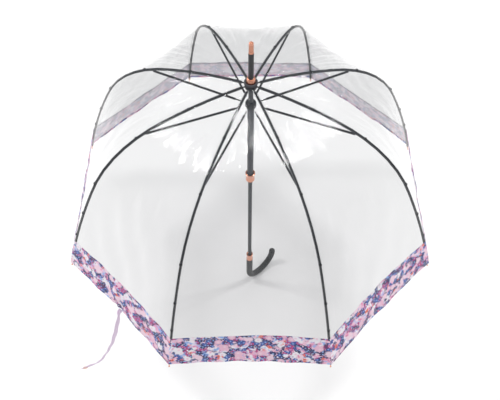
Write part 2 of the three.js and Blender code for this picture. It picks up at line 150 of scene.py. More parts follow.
class UmbrellaCanopySettings(bpy.types.PropertyGroup):
    """The clear sheet."""
    sag: length("Sag", "How far the sheet pulls in between two ribs", 0.007)
    ripple: length("Ripple", "Height of the soft waves in the sheet", 0.0007)
    tint: colour("Tint", "Colour of the clear sheet", (0.045, 0.055, 0.07))
    density: share("Density", "How much of the light the sheet stops", 0.275)
    weld: length("Weld", "Width of the welded seam over each rib", 0.005)
    gather: share("Gather", "Width that the lower sheet keeps when the umbrella is shut", 0.05)
    gather_crown: share("Crown gather", "Width that the upper sheet keeps when the umbrella is shut", 0.1)


class UmbrellaHemSettings(bpy.types.PropertyGroup):
    """The printed fabric hem and its strap."""
    bow: length("Bow", "How far the hem's foot arches up between two ribs", 0.010)
    seam_bow: length("Seam bow", "How far the hem's upper seam arches up between two ribs", 0.008)
    turn: length("Turn", "Width of the cloth turned under at the foot", 0.009)
    pucker: length("Pucker", "Height of the small puckers along the stitching", 0.0003)
    bloom: length("Blossom", "Width of the print's large blossoms", 0.030)
    ground: colour("Ground", "Palest colour of the print", (0.93, 0.87, 0.94))
    blush: colour("Blush", "Pink washes of the print", (0.88, 0.42, 0.62))
    lilac: colour("Lilac", "Lilac washes of the print", (0.56, 0.46, 0.80))
    thread: colour("Thread", "Stitching thread", (0.80, 0.74, 0.86))
    back: colour("Reverse", "Unprinted back of the cloth", (0.93, 0.92, 0.95))


class UmbrellaTrimSettings(bpy.types.PropertyGroup):
    """The metal, plastic and grip finishes."""
    rose: colour("Rose metal", "Colour of the polished trims", (0.86, 0.40, 0.27))
    black: colour("Black steel", "Paint on the ribs and stretchers", (0.004, 0.004, 0.005))
    tube: colour("Tube", "Paint on the shaft", (0.036, 0.038, 0.041))
    sleeve: colour("Sleeve", "Runner sleeve", (0.034, 0.035, 0.039))
    grip: colour("Grip", "Cover of the crook", (0.046, 0.046, 0.044))
    sides: IntProperty(name="Sides", description="Faces around a turned trim", default=96, min=24)


class UmbrellaStageSettings(bpy.types.PropertyGroup):
    """Floor, lamps and camera."""
    floor: colour("Floor", "Plain floor", (0.95, 0.95, 0.95))
    sky: FloatProperty(name="Sky", description="Strength of the light from above", default=0.84)
    side: FloatProperty(name="Side", description="Share of that light near the horizon", default=0.6)
    lens: FloatProperty(name="Lens", description="Focal length", default=46.52, subtype="DISTANCE_CAMERA")
    tilt: FloatProperty(name="Tilt", description="Camera's view below horizontal",
                        default=math.radians(56.52), subtype="ANGLE")
    back: length("Back", "Camera in front of the shaft", 0.8725)
    rise: length("Rise", "Camera above the crown", 0.9167)


# ---- shader building ------------------------------------------------------------------------------------
class Value:
    """A number on a shader socket; arithmetic on it adds Math nodes."""

    def __init__(self, finish, socket):
        self.finish = finish
        self.socket = socket

    def out(self, name):
        return Value(self.finish, self.socket.node.outputs[name])

    def math(self, operation, *values):
        return self.finish.node("ShaderNodeMath", {"operation": operation}, dict(enumerate(values)))

    def __add__(self, other):
        return self.math("ADD", self, other)

    def __radd__(self, other):
        return self.math("ADD", other, self)

    def __sub__(self, other):
        return self.math("SUBTRACT", self, other)

    def __rsub__(self, other):
        return self.math("SUBTRACT", other, self)

    def __mul__(self, other):
        return self.math("MULTIPLY", self, other)

    def __rmul__(self, other):
        return self.math("MULTIPLY", other, self)

    def __truediv__(self, other):
        return self.math("DIVIDE", self, other)

    def __lt__(self, other):
        return self.math("LESS_THAN", self, other)

    def __gt__(self, other):
        return self.math("GREATER_THAN", self, other)

    def __abs__(self):
        return self.math("ABSOLUTE", self)

    def clamp(self):
        return self.math("MINIMUM", self.math("MAXIMUM", self, 0), 1)


class Finish:
    """A procedural material with one Principled shader."""

    def __init__(self, name, constants):
        self.material = bpy.data.materials.new(name)
        self.material.use_nodes = True
        self.tree = self.material.node_tree
        self.shader = self.tree.nodes["Principled BSDF"]
        for socket, value in constants.items():
            self.set(self.shader.inputs[socket], value)

    def set(self, socket, value):
        if isinstance(value, Value):
            self.tree.links.new(value.socket, socket)
        elif hasattr(value, "__len__") and len(value) == 3 and socket.type == "RGBA":
            socket.default_value = (*value, 1)
        else:
            socket.default_value = value

    def surface(self, socket, value):
        self.set(self.shader.inputs[socket], value)

    def node(self, kind, settings=None, inputs=None, output=0):
        node = self.tree.nodes.new(kind)
        for name, value in (settings or {}).items():
            if name == "stops":
                self.stops(node.color_ramp, value)
            else:
                setattr(node, name, value)
        for name, value in (inputs or {}).items():
            self.set(node.inputs[name], value)
        return Value(self, node.outputs[output])

    @staticmethod
    def stops(ramp, stops):
        while len(ramp.elements) < len(stops):
            ramp.elements.new(1)
        for element, (position, shade) in zip(ramp.elements, stops):
            element.position = position
            element.color = (*shade, 1)

    def mix(self, factor, first, second):
        settings = {"data_type": "RGBA"}
        return self.node("ShaderNodeMix", settings, {0: factor, 6: first, 7: second}, 2)

    def vector(self, operation, first, second):
        return self.node("ShaderNodeVectorMath", {"operation": operation}, {0: first, 1: second})

    def place(self):
        return self.node("ShaderNodeTexCoord", output="Object")

    def chart(self, name):
        return self.node("ShaderNodeUVMap", {"uv_map": name})

    def axes(self, vector):
        split = self.node("ShaderNodeSeparateXYZ", {}, {0: vector})
        return split, split.out("Y"), split.out("Z")

    def noise(self, vector, scale, detail=2.0, roughness=0.5):
        inputs = {"Vector": vector, "Scale": scale, "Detail": detail, "Roughness": roughness}
        return self.node("ShaderNodeTexNoise", {}, inputs)

    def cells(self, vector, scale, flat=False):
        settings = {"voronoi_dimensions": "2D" if flat else "3D"}
        return self.node("ShaderNodeTexVoronoi", settings, {"Vector": vector, "Scale": scale})

    def bands(self, factor, stops):
        node = self.node("ShaderNodeValToRGB", {"stops": stops}, {0: factor})
        node.socket.node.color_ramp.interpolation = "CONSTANT"
        return node

    def relief(self, height, depth, strength=1.0):
        inputs = {"Height": height, "Distance": depth, "Strength": strength}
        self.surface("Normal", self.node("ShaderNodeBump", {}, inputs))


def stretched(finish, vector, scale):
    return finish.vector("MULTIPLY", vector, scale)


def painted_steel(name, shade, roughness):
    """Satin paint over folded steel: faint orange peel, handling scuffs and dust."""
    finish = Finish(name, {"Specular IOR Level": 0.35})
    place = finish.place()
    peel = finish.noise(place, 900, 3)
    scuffs = (finish.noise(place, 140, 5, 0.7) - 0.62) * 9
    scuffed = finish.mix(scuffs.clamp(), shade, tuple(min(3.2 * c + 0.006, 1) for c in shade))
    finish.surface("Base Color", scuffed)
    finish.surface("Roughness", roughness + (peel - 0.5) * 0.25 + scuffs.clamp() * 0.15)
    finish.relief(peel, 0.00004)
    return finish.material


def moulded_plastic(name, shade, roughness, grain):
    """Black moulding with a fine spark texture."""
    finish = Finish(name, {"Specular IOR Level": 0.35})
    place = finish.place()
    spark = finish.noise(place, grain, 4, 0.65)
    blotch = finish.noise(place, 60, 2)
    finish.surface("Base Color", finish.mix(blotch, shade, tuple(min(1.7 * c, 1) for c in shade)))
    finish.surface("Roughness", roughness + (spark - 0.5) * 0.3)
    finish.relief(spark, 0.00006)
    return finish.material


def rose_metal(shade):
    """Plated trim, polished, with faint turning lines and patches of tarnish."""
    finish = Finish("rose_metal", {"Metallic": 1.0, "Coat Weight": 0.25, "Coat Roughness": 0.08})
    place = finish.place()
    lines = finish.noise(stretched(finish, place, (40, 40, 5200)), 1, 2)
    tarnish = finish.noise(place, 180, 4, 0.6)
    deep = tuple(0.72 * c for c in shade)
    finish.surface("Base Color", finish.mix((tarnish * 1.6 - 0.4).clamp(), shade, deep))
    finish.surface("Roughness", 0.10 + lines * 0.08 + tarnish * 0.06)
    finish.relief(lines, 0.00002, 0.6)
    return finish.material


def grip_cover(shade):
    """Pebbled wrap of the crook; its colour follows the pebbles' height, with painted shade darkening the
    hollows between them and the tops painted lighter.
    """
    finish = Finish("handle_cover", {"Specular IOR Level": 0.4, "Sheen Weight": 0.15})
    place = finish.place()
    wander = finish.noise(place, 260, 3)
    warped = finish.vector("ADD", place, stretched(finish, wander.out("Color"), (0.0012,) * 3))
    pebbles = finish.cells(warped, 620)
    height = (1 - pebbles * 1.5).clamp()
    speckle = finish.noise(place, 420, 4, 0.7)
    # painted shade: the colour drops to about a third in the hollows between pebbles and is lighter on their
    # tops
    base = finish.mix(height, tuple(0.35 * c for c in shade), tuple(1.5 * c for c in shade))
    finish.surface("Base Color", finish.mix((speckle * 4 - 2.1).clamp(), base, tuple(2.6 * c for c in shade)))
    finish.surface("Roughness", 0.66 - height * 0.2)
    finish.relief(height + speckle * 0.4, 0.0005)
    return finish.material


def clear_sheet(settings):
    """Soft clear film: thin, glossy, denser along its welds, drawn into fine pleats that run to the crown."""
    constants = {"Base Color": settings.tint, "IOR": 1.75, "Coat Weight": 1.0, "Coat Roughness": 0.02}
    finish = Finish("clear_sheet", constants)
    place = finish.place()
    across, along, _ = finish.axes(finish.chart("seam"))
    haze = finish.noise(place, 9, 3)
    weld = (across < settings.weld) + (abs(across - 1.6 * settings.weld) < 0.0003)
    density = settings.density + (haze - 0.5) * 0.05 + weld.clamp() * 0.07
    finish.surface("Alpha", density.clamp())
    finish.surface("Roughness", 0.02 + finish.noise(place, 30, 2) * 0.05)
    compass = finish.vector("NORMALIZE", stretched(finish, place, (1, 1, 0)), (0, 0, 0))
    height = stretched(finish, place, (0, 0, 3))
    pleats = finish.noise(finish.vector("ADD", stretched(finish, compass, (42, 42, 0)), height), 1, 3, 0.6)
    facets = finish.vector("ADD", stretched(finish, compass, (7, 7, 0)), stretched(finish, place, (2, 2, 9)))
    folds = finish.cells(facets, 1)
    ripples = finish.noise(place, 13, 2)
    finish.relief(pleats + folds * 0.45 + ripples * 0.15, 0.0028, 0.9)
    return finish.material


PALETTE = {
    "white": (0.90, 0.87, 0.94),
    "shell": (0.90, 0.66, 0.78),
    "sky": (0.30, 0.47, 0.84),
    "blue": (0.035, 0.085, 0.36),
    "navy": (0.008, 0.014, 0.11),
    "plum": (0.085, 0.014, 0.11),
    "magenta": (0.46, 0.04, 0.22),
    "rose": (0.80, 0.24, 0.46),
    "coral": (0.88, 0.16, 0.10),
    "petal": (0.86, 0.52, 0.68),
}


def even_stops(names):
    return [(i / len(names), PALETTE[name]) for i, name in enumerate(names)]


def flowers(finish, cloth, chart, width, seed, petals, reach, names, eye, where=1.0):
    """Lays one layer of flowers over the cloth's colour, a flower to a cell, each in one colour of names.
    where thins them out. Returns the new colour and the distance from the nearest flower's heart."""
    place = finish.vector("ADD", stretched(finish, chart, (1 / width,) * 3), (seed, 0.7 * seed, 0))
    cells = finish.cells(place, 1, flat=True)
    away_x, away_y, _ = finish.axes(finish.vector("SUBTRACT", place, cells.out("Position")))
    chance, turn, fade = finish.axes(cells.out("Color"))
    angle = away_x.math("ARCTAN2", away_y, away_x) + turn * TAU
    lobes = abs(angle.math("COSINE", angle * (petals / 2)))
    ruffle = finish.noise(chart, 2.2 / width, 3, 0.6) - 0.5
    edge = reach * (0.55 + 0.45 * lobes) * (0.8 + 0.35 * fade) + ruffle * 0.4
    inside = ((edge - cells) * 12).clamp() * where
    shade = finish.bands(chance, even_stops(names))
    pale = finish.mix(0.14, shade, PALETTE["white"])
    petal = finish.mix((0.85 - cells / edge + ruffle * 2).clamp(), shade, pale)
    cloth = finish.mix(inside, cloth, petal)
    heart = ((0.22 * reach - cells) * 16).clamp() * where
    return finish.mix(heart, cloth, eye), cells


def hem_cloth(settings):
    """Light plain weave printed all over with blossoms and small flowers, and stitched along both edges."""
    finish = Finish("hem_cloth", {"Specular IOR Level": 0.25, "Sheen Weight": 0.1})
    chart = finish.chart("cut")
    wash = finish.noise(chart, 38, 3)
    cloth = finish.mix(((wash - 0.42) * 5).clamp(), settings.ground, settings.blush)
    cool = finish.noise(finish.vector("ADD", chart, (3.1, 1.7, 0)), 60, 2)
    cloth = finish.mix(((cool - 0.55) * 6).clamp(), cloth, settings.lilac)
    width = settings.bloom
    pale = ("white", "petal", "shell", "white", "petal", "shell")
    cloth, blossoms = flowers(finish, cloth, chart, width, 3, 6, 0.56, pale, PALETTE["shell"])
    gaps = ((blossoms - 0.34) * 9).clamp()
    sprays = finish.noise(finish.vector("ADD", chart, (7.3, 4.9, 0)), 75, 2)
    leafy = gaps * ((sprays - 0.54) * 9).clamp()
    cloth = finish.mix(leafy, cloth, PALETTE["sky"])
    cloth = finish.mix(gaps * ((0.43 - sprays) * 9).clamp(), cloth, PALETTE["rose"])
    bold = ("navy", "magenta", "navy", "plum", "blue", "navy", "blue", "magenta")
    thick = ((blossoms - 0.2) * 9).clamp() * ((finish.noise(chart, 40, 2) - 0.455) * 24).clamp()
    cloth, _ = flowers(finish, cloth, chart, 0.3 * width, 11, 5, 1.0, bold, PALETTE["sky"], thick)
    warm = ("coral", "rose", "navy", "coral", "plum", "blue")
    sparse = ((finish.noise(finish.vector("ADD", chart, (1.3, 8.8, 0)), 34, 1) - 0.55) * 14).clamp()
    cloth, _ = flowers(finish, cloth, chart, 0.42 * width, 23, 5, 0.5, warm, PALETTE["navy"], sparse)
    weave_u, weave_v, _ = finish.axes(stretched(finish, chart, (TAU / YARN,) * 3))
    weave = weave_u.math("SINE", weave_u) * weave_v.math("SINE", weave_v)
    run, walked, _ = finish.axes(chart)
    reverse = walked > HEM_WIDTH + settings.turn + 0.002
    cloth = finish.mix(reverse * 0.66, cloth, settings.back)
    _, below, _ = finish.axes(finish.chart("seam"))
    stitches = run / STITCH_LENGTH
    dash = stitches.math("FRACT", stitches) < 0.7
    upper, lower = (abs(below - row) < STITCH_WIDTH / 2 for row in STITCH_ROWS)
    rows = upper + lower
    stitch = dash * rows
    finish.surface("Base Color", finish.mix(stitch, cloth, settings.thread))
    finish.surface("Roughness", 0.78 + weave * 0.08)
    finish.relief(weave * 0.15 + stitch * 0.8 - rows * 0.5, 0.0004)
    return finish.material


def sewing_thread():
    finish = Finish("tie_thread", {"Specular IOR Level": 0.2})
    place = finish.place()
    twist = finish.noise(place, 2600, 2)
    finish.surface("Base Color", finish.mix(twist, (0.012, 0.012, 0.014), (0.06, 0.06, 0.065)))
    finish.surface("Roughness", 0.75 + twist * 0.2)
    finish.relief(twist, 0.00008)
    return finish.material


def floor_paint(shade):
    finish = Finish("pale_floor", {"Roughness": 0.9, "Specular IOR Level": 0.1})
    mottle = finish.noise(finish.place(), 3, 2)
    finish.surface("Base Color", finish.mix(mottle, shade, tuple(0.985 * c for c in shade)))
    return finish.material


# ---- mesh building --------------------------------------------------------------------------------------
def new_object(name, mesh, material):
    mesh.materials.append(material)
    piece = bpy.data.objects.new(name, mesh)
    bpy.context.scene.collection.objects.link(piece)
    return piece


def grid_piece(name, points, charts, normals, material, closed=False):
    """A sheet from rows and columns of points; charts are flat maps in metres. A closed one doubles back, and
    its last row is joined to its first and its ends are filled."""
    rows, columns = points.shape[:2]
    index = np.arange(rows * columns).reshape(rows, columns)
    corners = [index[:-1, :-1], index[:-1, 1:], index[1:, 1:], index[1:, :-1]]
    first = np.cross(points[0, 1] - points[0, 0], points[1, 0] - points[0, 0])
    faces = np.stack(corners, -1).reshape(-1, 4).tolist()
    if closed:
        faces += np.stack([index[-1, :-1], index[-1, 1:], index[0, 1:], index[0, :-1]], -1).tolist()
        faces += [index[:, 0].tolist(), index[::-1, -1].tolist()]
    if np.dot(first, normals[0, 0]) < 0:
        faces = [face[::-1] for face in faces]
    mesh = bpy.data.meshes.new(name)
    mesh.from_pydata(points.reshape(-1, 3).tolist(), [], faces)
    corner = np.concatenate(faces)
    for chart, spots in charts.items():
        layer = mesh.uv_layers.new(name=chart)
        layer.uv.foreach_set("vector", spots.reshape(-1, 2)[corner].astype(np.float32).ravel())
    mesh.shade_smooth()
    mesh.normals_split_custom_set_from_vertices(normals.reshape(-1, 3).tolist())
    return new_object(name, mesh, material)


def closed_piece(name, rings, material, sharp=math.radians(35)):
    """A solid from rings of points; the first and last ring may shrink to a point or join up."""
    rings = np.asarray(rings, float)
    count, sides = rings.shape[:2]
    mesh = bpy.data.meshes.new(name)
    build = bmesh.new()
    verts = [[build.verts.new(p) for p in ring] for ring in rings]
    for low, high in zip(verts, verts[1:]):
        for i in range(sides):
            j = (i + 1) % sides
            build.faces.new((low[i], low[j], high[j], high[i]))
    bmesh.ops.remove_doubles(build, verts=build.verts, dist=1e-6)
    bmesh.ops.holes_fill(build, edges=build.edges)
    bmesh.ops.recalc_face_normals(build, faces=build.faces)
    build.to_mesh(mesh)
    build.free()
    mesh.shade_smooth()
    mesh.set_sharp_from_angle(angle=sharp)
    return new_object(name, mesh, material)


def unit(vectors):
    return vectors / np.linalg.norm(vectors, axis=-1, keepdims=True)


def softened(outline, radius, steps=4):
    """The outline with each inner corner rounded by about radius."""
    points = [np.array(outline[0], float)]
    for before, corner, after in zip(outline, outline[1:], outline[2:]):
        before, corner, after = (np.array(p, float) for p in (before, corner, after))
        reach_in = min(radius, 0.45 * np.linalg.norm(corner - before))
        reach_out = min(radius, 0.45 * np.linalg.norm(after - corner))
        start = corner + unit(before - corner) * reach_in
        end = corner + unit(after - corner) * reach_out
        for t in np.linspace(0, 1, steps + 1):
            points.append((1 - t) ** 2 * start + 2 * t * (1 - t) * corner + t * t * end)
    points.append(np.array(outline[-1], float))
    return np.array(points)


def turned_rings(outline, base, along, first, second, sides, soften):
    """Rings of a turned shape. outline is radius and distance from base along the axis, in millimetres;
    first and second are directions across the axis."""
    angles = np.arange(sides) / sides * TAU
    spokes = np.cos(angles)[:, None] * first + np.sin(angles)[:, None] * second
    return [base + (spokes * radius + along * step) / 1000 for radius, step in softened(outline, soften)]


def turned_piece(name, outline, material, sides):
    """A turned trim about the shaft: outline is radius and height in millimetres above the crown pivots."""
    x, y, z = np.eye(3)
    return closed_piece(name, turned_rings(outline, CROWN_Z * z, z, x, y, sides, 0.4), material)


def swept(centres, across, radii, sides):
    """Rings of a round tube along centres, with one radius or one for each; across is a fixed direction."""
    centres = np.asarray(centres, float)
    across = np.broadcast_to(across, centres.shape)
    other = unit(np.cross(unit(np.gradient(centres, axis=0)), across))
    angles = np.arange(sides) / sides * TAU
    radii = np.asarray(radii, float).reshape(-1, 1, 1)
    spokes = np.cos(angles)[None, :, None] * across[:, None] + np.sin(angles)[None, :, None] * other[:, None]
    return centres[:, None] + radii * spokes


def directions(azimuth):
    """Outward and sideways directions at an azimuth around the shaft."""
    outward = np.array([math.cos(azimuth), math.sin(azimuth), 0])
    sideways = np.array([-math.sin(azimuth), math.cos(azimuth), 0])
    return outward, sideways


def rib_frame(rib):
    """Outward and sideways directions of a rib."""
    return directions(rib_azimuth(rib))


def gore_frame(gore):
    """Outward and sideways directions of a gore's middle."""
    return directions(math.radians(360 / RIBS * gore - 90))


def on_rib(rib, down, lift):
    """Point over a rib at a distance along it."""
    outward, _ = rib_frame(rib)
    radius, height = rib_point(np.array(down), lift)
    return outward * float(radius) + np.array([0, 0, CROWN_Z + float(height)])


def along_rib(rib, down):
    """Direction of a rib, away from the crown, at a distance along it."""
    outward, _ = rib_frame(rib)
    slope = float(rib_slope(down))
    return outward * math.cos(slope) - np.array([0, 0, math.sin(slope)])


# ---- the sheet's shape ----------------------------------------------------------------------------------
WAVES = 7


def ripple_waves(gore):
    """Frequencies, phases and weights of one gore's soft waves."""
    draw = np.random.default_rng(100 + gore)
    along = draw.uniform(2.0, 7.0, WAVES)
    across = draw.uniform(-3.2, 3.2, WAVES)
    return along, across, draw.uniform(0, TAU, WAVES), draw.uniform(0.4, 1.0, WAVES)


def sheet_shape(gore, side, down, reach, lift, sag, ripple, tuck=None):
    """Points over a half gore. side is -1 on the half by the gore's first rib and 1 by its second;
    reach runs from 0 at that rib to 1 at the middle of the gore."""
    radius, height = rib_point(down, lift)
    outward, sideways = gore_frame(gore)
    across = side * (1 - reach)
    slope = rib_slope(down)
    part = np.clip(down / RIB_LENGTH, 0, 1)
    belly = 1 - across ** 2
    depth = sag * np.sin(np.pi * part ** 0.8) * belly
    along, over, phase, weight = ripple_waves(gore)
    angle = TAU * (along * part[..., None] + over * across[..., None]) + phase
    waves = (np.sin(angle) * weight).sum(-1) * ripple * belly * np.clip(part * 5, 0, 1)
    shoulder = np.exp(-((part - 0.3) / 0.16) ** 2) * belly
    pleats = np.cos(TAU * 5.5 * across + 3 * part + gore) * shoulder * ripple * 0.8
    push = waves + pleats - depth
    if tuck is not None:
        push = push + tuck(across, down)
    flat = radius * math.cos(HALF_GORE) + push * np.sin(slope)
    points = flat[..., None] * outward + (radius * math.sin(HALF_GORE) * across)[..., None] * sideways
    points[..., 2] += CROWN_Z + height + push * np.cos(slope)
    return points


def sheet_normals(shape, down, reach):
    """Outward normals of a shape given as a function of distance down the rib and reach."""
    nudge = 1e-4
    along = shape(down + nudge, reach) - shape(down - nudge, reach)
    over = shape(down, reach + nudge) - shape(down, reach - nudge)
    normals = unit(np.cross(along, over))
    up = shape(down, reach)[..., :2]
    inward = (normals[..., :2] * up).sum(-1) + 0.2 * normals[..., 2] < 0
    normals[inward] *= -1
    return normals


def half_gores():
    """Each half gore as gore number, side and the rib that carries it."""
    for gore in range(1, RIBS + 1):
        yield gore, -1, gore
        yield gore, 1, gore % RIBS + 1


def half_name(side):
    return "first" if side < 0 else "second"


def gather_to_rib(piece, rib, side, down):
    """Works out the direction in which a half gore would flatten along its own width against its rib as the
    umbrella shuts, about the distance down where it is, but does not apply it: the piece only gets a mesh of
    its own."""
    outward, sideways = rib_frame(rib)
    slope = float(rib_slope(down))
    lean = math.atan(math.tan(HALF_GORE) * math.sin(slope))
    up = outward * math.sin(slope) + np.array([0, 0, math.cos(slope)])
    axis = -side * sideways * math.cos(lean) - up * math.sin(lean)
    anchor = on_rib(rib, down, SKIN_LIFT)
    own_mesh(piece)


def flat_size(down, turn=0.0):
    """Width, length and area of a half gore's cut between the first and last of down."""
    radius, _ = rib_point(down, SKIN_LIFT)
    half = radius * math.sin(HALF_GORE)
    run = down[-1] - down[0]
    area = float(((half[1:] + half[:-1]) / 2 * np.diff(down)).sum()) + turn * float(half[-1])
    return (float(half.max()), float(run + turn)), min(area, float(half.max() * (run + turn)))


def canopy_panel(gore, side, rib, part, start, end, settings, material):
    """One half gore of clear sheet, the upper or lower part, carried by that part of its rib."""
    down = np.linspace(start, end, 44)
    grid_down, grid_reach = np.meshgrid(down, np.linspace(0, 1, 22), indexing="ij")
    bow = bpy.context.scene.umbrella_hem.seam_bow
    arch_start = 0.4

    def shape(d, r):
        belly = 1 - (1 - r) ** 2
        arched = d - bow * belly * np.clip((d - arch_start) / (HEM_TOP - arch_start), 0, 1) ** 2
        return sheet_shape(gore, side, arched, r, SKIN_LIFT, settings.sag, settings.ripple)

    radius, _ = rib_point(grid_down, SKIN_LIFT)
    half = radius * math.sin(HALF_GORE)
    charts = {"seam": np.stack([grid_reach * half, grid_down], -1)}
    normals = sheet_normals(shape, grid_down, grid_reach)
    name = f"canopy_{part}_{gore}_{half_name(side)}"
    piece = grid_piece(name, shape(grid_down, grid_reach), charts, normals, material)
    body = f"rib_{part}_{rib}"
    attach(piece, body)
    gather_to_rib(piece, rib, side, (start + end) / 2)
    flat, area = flat_size(down)
    return piece


# ---- operators ------------------------------------------------------------------------------------------
class UmbrellaOperator(bpy.types.Operator):
    """Shared options of the umbrella's operators."""
    bl_options = {"REGISTER", "UNDO"}


class UMBRELLA_OT_frame_finishes(UmbrellaOperator):
    """Gives every frame part that stays its finish"""
    bl_idname = "umbrella.frame_finishes"
    bl_label = "Frame finishes"

    def execute(self, context):
        trim = context.scene.umbrella_trim
        steel = painted_steel("black_steel", tuple(trim.black), 0.34)
        tube = painted_steel("shaft_paint", tuple(trim.tube), 0.3)
        plastic = moulded_plastic("black_plastic", (0.006, 0.006, 0.007), 0.34, 2400)
        sleeve = moulded_plastic("sleeve_plastic", tuple(trim.sleeve), 0.36, 1500)
        plain = {
            "crown_notch": plastic, "runner_hub": plastic, "crown_wire": steel, "shaft_tube": tube,
            "runner_sleeve": sleeve, "top_catch": steel, "lower_catch": steel,
        }
        for rib in range(1, RIBS + 1):
            for node in (f"rib_upper_{rib}", f"rib_lower_{rib}", f"stretcher_{rib}"):
                plain[node] = steel
        for node, material in plain.items():
            mesh = frame["nodes"][node].data
            mesh.materials.clear()
            mesh.materials.append(material)
            mesh.shade_smooth()
            mesh.set_sharp_from_angle(angle=math.radians(32))
        return {"FINISHED"}


class UMBRELLA_OT_canopy(UmbrellaOperator):
    """Makes the clear dome in half gores, each carried by its own rib"""
    bl_idname = "umbrella.canopy"
    bl_label = "Clear canopy"

    def execute(self, context):
        settings = context.scene.umbrella_canopy
        material = clear_sheet(settings)
        joint = RIB_JOINT * RIB_LENGTH
        lap = 0.006
        for gore, side, rib in half_gores():
            upper = canopy_panel(gore, side, rib, "upper", -0.002, joint, settings, material)
            canopy_panel(gore, side, rib, "lower", joint, HEM_TOP + lap, settings, material)
            if side < 0:
                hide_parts(f"canopy_gore_{gore}")
        return {"FINISHED"}


class UMBRELLA_OT_hem(UmbrellaOperator):
    """Makes the printed hem with its turned edge and stitching"""
    bl_idname = "umbrella.hem"
    bl_label = "Printed hem"

    def execute(self, context):
        settings = context.scene.umbrella_hem
        sag = context.scene.umbrella_canopy.sag
        material = hem_cloth(settings)
        fold = 0.0005
        lap = 0.003
        clear = 0.0002
        around = np.linspace(0, np.pi, 7)[1:-1]
        face = np.linspace(-lap, HEM_WIDTH, 34)
        rolled = HEM_WIDTH + fold * np.sin(around)
        under = np.linspace(HEM_WIDTH, HEM_WIDTH - settings.turn, 5)
        back = np.linspace(HEM_WIDTH - settings.turn - clear, -lap, 30)
        below = np.concatenate([face, rolled, under, back])
        lifts = np.concatenate([
            np.full(len(face), HEM_LIFT), HEM_LIFT - fold + fold * np.cos(around),
            np.full(len(under), HEM_LIFT - 2 * fold), np.full(len(back), HEM_LIFT - 0.7 * fold)])
        lifts[0] -= clear
        walked = np.concatenate([[0], np.cumsum(np.hypot(np.diff(below), np.diff(lifts)))]) + below[0]
        reach = np.linspace(0, 1, 49)
        grid_below, grid_reach = np.meshgrid(below, reach, indexing="ij")
        lift = np.broadcast_to(lifts[:, None], grid_below.shape)
        for gore, side, rib in half_gores():
            def tuck(across, down):
                edge = np.exp(-((down - HEM_FOOT) / 0.014) ** 2) + np.exp(-((down - HEM_TOP) / 0.009) ** 2)
                small = np.sin(TAU * 17 * across + gore) + 0.6 * np.sin(TAU * 29 * across + 2 * gore)
                push = settings.pucker * edge * small * (1 - across ** 2)
                if gore == STRAP_GORE:
                    near = np.exp(-(across / 0.14) ** 2) * np.exp(-((down - HEM_FOOT) / 0.03) ** 2)
                    push = push + near * (0.0022 * np.cos(TAU * 9 * across) - 0.003)
                return push

            def shape(b, r):
                belly = 1 - (1 - r) ** 2
                pinch = 0.0
                if gore == STRAP_GORE:
                    pinch = 0.004 * np.exp(-((1 - r) / 0.2) ** 2) * np.clip(b / HEM_WIDTH, 0, 1)
                part = np.clip(b / HEM_WIDTH, 0, 1)
                bow = settings.seam_bow + (settings.bow - settings.seam_bow) * part
                arched = HEM_TOP + b - bow * belly - pinch
                return sheet_shape(gore, side, arched, r, lift, sag, 0.0009, tuck)

            normals = sheet_normals(shape, grid_below, grid_reach)
            normals[len(face) + len(rolled):] *= -1
            radius, _ = rib_point(HEM_TOP + grid_below, HEM_LIFT)
            across = radius * math.sin(HALF_GORE)
            seam = np.stack([grid_reach * across, grid_below], -1)
            run = PRINT_STEP * gore + side * (1 - grid_reach) * across
            cut = np.stack([run, np.broadcast_to(walked[:, None], run.shape)], -1)
            name = f"hem_{gore}_{half_name(side)}"
            charts = {"cut": cut, "seam": seam}
            piece = grid_piece(name, shape(grid_below, grid_reach), charts, normals, material, closed=True)
            body = f"rib_lower_{rib}"
            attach(piece, body)
            gather_to_rib(piece, rib, side, HEM_TOP + HEM_WIDTH / 2)
            flat, area = flat_size(HEM_TOP + face, settings.turn)
            if gore == 1 and side < 0:
                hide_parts("hem_band")
        return {"FINISHED"}


